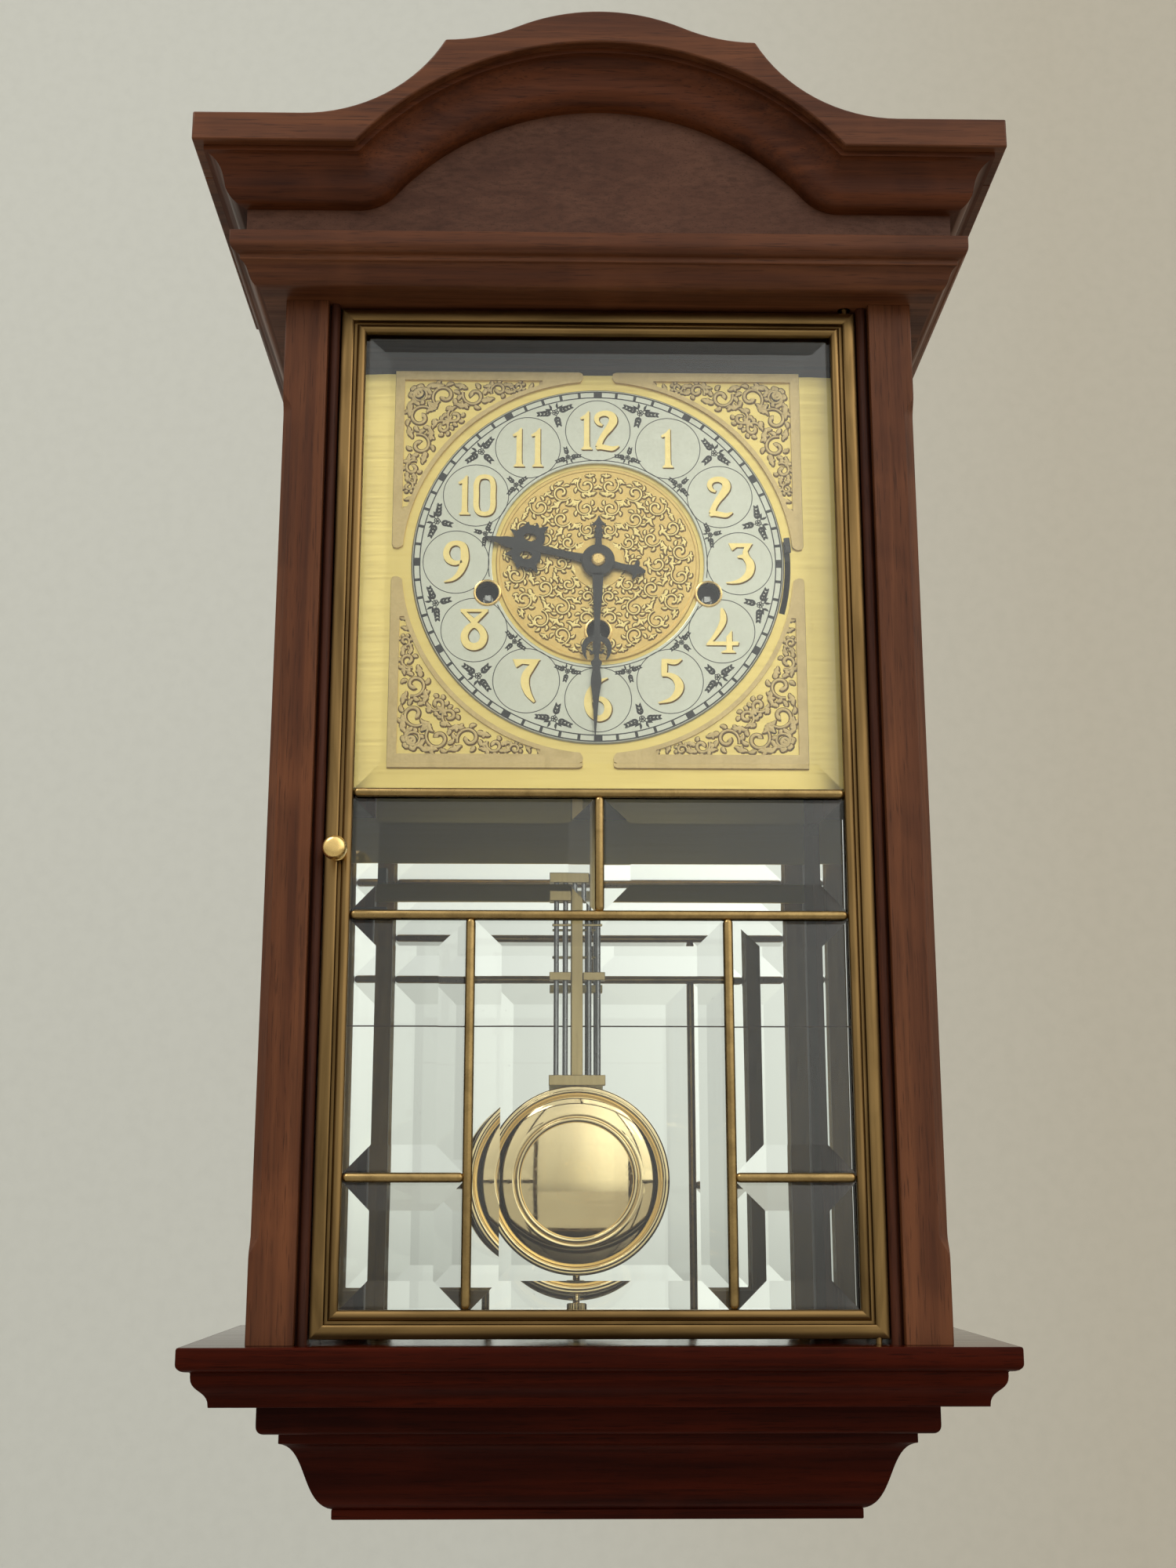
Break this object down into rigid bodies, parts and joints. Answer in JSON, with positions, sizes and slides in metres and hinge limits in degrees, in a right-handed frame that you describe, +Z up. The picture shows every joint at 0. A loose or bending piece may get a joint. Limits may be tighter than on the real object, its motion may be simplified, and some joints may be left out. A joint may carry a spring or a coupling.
{
  "type": "pendulum wall clock",
  "caption": "Arch-top wooden wall clock with a brass lattice door of bevelled panes, gilt dial, key-wound chime movement, mirrored back and a swinging pendulum.",
  "frame": {"origin": "centre of the hanger hole at the wall plane", "axes": "+Z up, +Y into the wall, +X to the viewer's right; the dial faces -Y"},
  "size_m": [0.3208, 0.1612, 0.579],
  "materials": {
    "cherry": "satin lacquer, fine straight grain",
    "cherry_dark": "satin lacquer, darker",
    "back_wood": "plain, unlacquered",
    "mirror": "bevelled silvered glass",
    "door_brass": "aged antique brass, satin",
    "glass": "clear, bevelled edges",
    "movement_brass": "satin",
    "gilt": "fine satin gilt",
    "spandrel_bronze": "cast, satin gilt",
    "silvered": "fine brushed silver",
    "black_paint": "semi-gloss black",
    "steel": "bright drawn",
    "iron": "matt",
    "pendulum_brass": "polished and lacquered"
  },
  "bodies": {
    "case": {"base_board": "cherry", "base_moulding": "cherry", "plinth_board": "cherry", "side_left": "cherry", "side_right": "cherry", "stile_left": "cherry", "stile_right": "cherry", "bead_strips": "cherry_dark", "back_panel": "back_wood", "cornice_board": "cherry", "frieze_panel": "cherry_dark", "frieze_box": "cherry", "crown_moulding": "cherry", "pediment_board": "cherry", "top_board": "cherry", "hanger_plate": "movement_brass", "mirror_upper": "mirror", "mirror_lower": "mirror", "seat_board": "back_wood", "door_bushes": "door_brass", "door_catch": "steel", "chime_rods": "steel", "chime_block": "iron", "hammer_bracket": "movement_brass", "dial_plate": "gilt", "chapter_ring": "silvered", "dial_spandrels": "spandrel_bronze", "centre_disc": "gilt", "winding_grommets": "movement_brass", "front_plate": "movement_brass", "back_plate": "movement_brass", "plate_pillars": "movement_brass", "suspension_post": "movement_brass"},
    "door": {"door_frame": "door_brass", "door_bars": "door_brass", "pane_top": "glass", "pane_centre": "glass", "panes_middle": "glass", "panes_side": "glass", "door_knob": "door_brass", "pivot_pins": "door_brass"},
    "minute": {"minute_hand": "black_paint", "hand_nut": "movement_brass", "centre_arbor": "steel"},
    "hour": {"hour_hand": "black_paint", "hour_wheel": "movement_brass"},
    "lever": {"chime_lever": "black_paint"},
    "time_barrel": {"time_barrel": "movement_brass"},
    "strike_barrel": {"strike_barrel": "movement_brass"},
    "chime_barrel": {"chime_barrel": "movement_brass"},
    "escape": {"escape_wheel": "movement_brass"},
    "anchor": {"pallet_anchor": "steel"},
    "pendulum": {"suspension_spring": "movement_brass", "pendulum_strip": "pendulum_brass", "pendulum_rods": "steel", "pendulum_blocks": "pendulum_brass", "pendulum_bob": "pendulum_brass"},
    "rating": {"rating_nut": "movement_brass"},
    "hammers": {"chime_hammers": "movement_brass"}
  },
  "joints": [
    {"name": "door_swing", "type": "hinge", "parent": "case", "child": "door", "pos_m": [0.1002, -0.1215, -0.385], "axis": [0, 0, 1], "range_deg": [0, 110]},
    {"name": "minute_turn", "type": "hinge", "parent": "case", "child": "minute", "pos_m": [0, -0.101, -0.0828], "axis": [0, 1, 0], "continuous": true},
    {"name": "hour_turn", "type": "hinge", "parent": "case", "child": "hour", "pos_m": [0, -0.101, -0.0828], "axis": [0, 1, 0], "continuous": true},
    {"name": "lever_shift", "type": "hinge", "parent": "case", "child": "lever", "pos_m": [0, -0.099, -0.0828], "axis": [0, 1, 0], "range_deg": [0, 19.5]},
    {"name": "time_wind", "type": "hinge", "parent": "case", "child": "time_barrel", "pos_m": [0, -0.098, -0.1118], "axis": [0, 1, 0], "continuous": true},
    {"name": "strike_wind", "type": "hinge", "parent": "case", "child": "strike_barrel", "pos_m": [-0.0446, -0.098, -0.0958], "axis": [0, 1, 0], "continuous": true},
    {"name": "chime_wind", "type": "hinge", "parent": "case", "child": "chime_barrel", "pos_m": [0.0446, -0.098, -0.0958], "axis": [0, 1, 0], "continuous": true},
    {"name": "escape_turn", "type": "hinge", "parent": "case", "child": "escape", "pos_m": [-0.0075, -0.061, -0.066], "axis": [0, 1, 0], "continuous": true},
    {"name": "pendulum_swing", "type": "hinge", "parent": "case", "child": "pendulum", "pos_m": [-0.0075, -0.041, -0.04], "axis": [0, 1, 0], "range_deg": [-4, 4]},
    {"name": "anchor_rock", "type": "hinge", "parent": "case", "child": "anchor", "pos_m": [-0.0075, -0.061, -0.04], "axis": [0, 1, 0], "range_deg": [-4, 4]},
    {"name": "rating_turn", "type": "hinge", "parent": "pendulum", "child": "rating", "pos_m": [-0.0075, -0.041, -0.369], "axis": [0, 0, 1], "continuous": true},
    {"name": "hammer_lift", "type": "hinge", "parent": "case", "child": "hammers", "pos_m": [-0.062, -0.04, -0.115], "axis": [0, 0, 1], "range_deg": [0, 14], "stiffness_Nm_per_rad": 0.004}
  ],
  "couplings": [
    {"joint": "hour_turn", "follows": "minute_turn", "ratio": 0.083333},
    {"joint": "anchor_rock", "follows": "pendulum_swing", "ratio": 1}
  ]
}
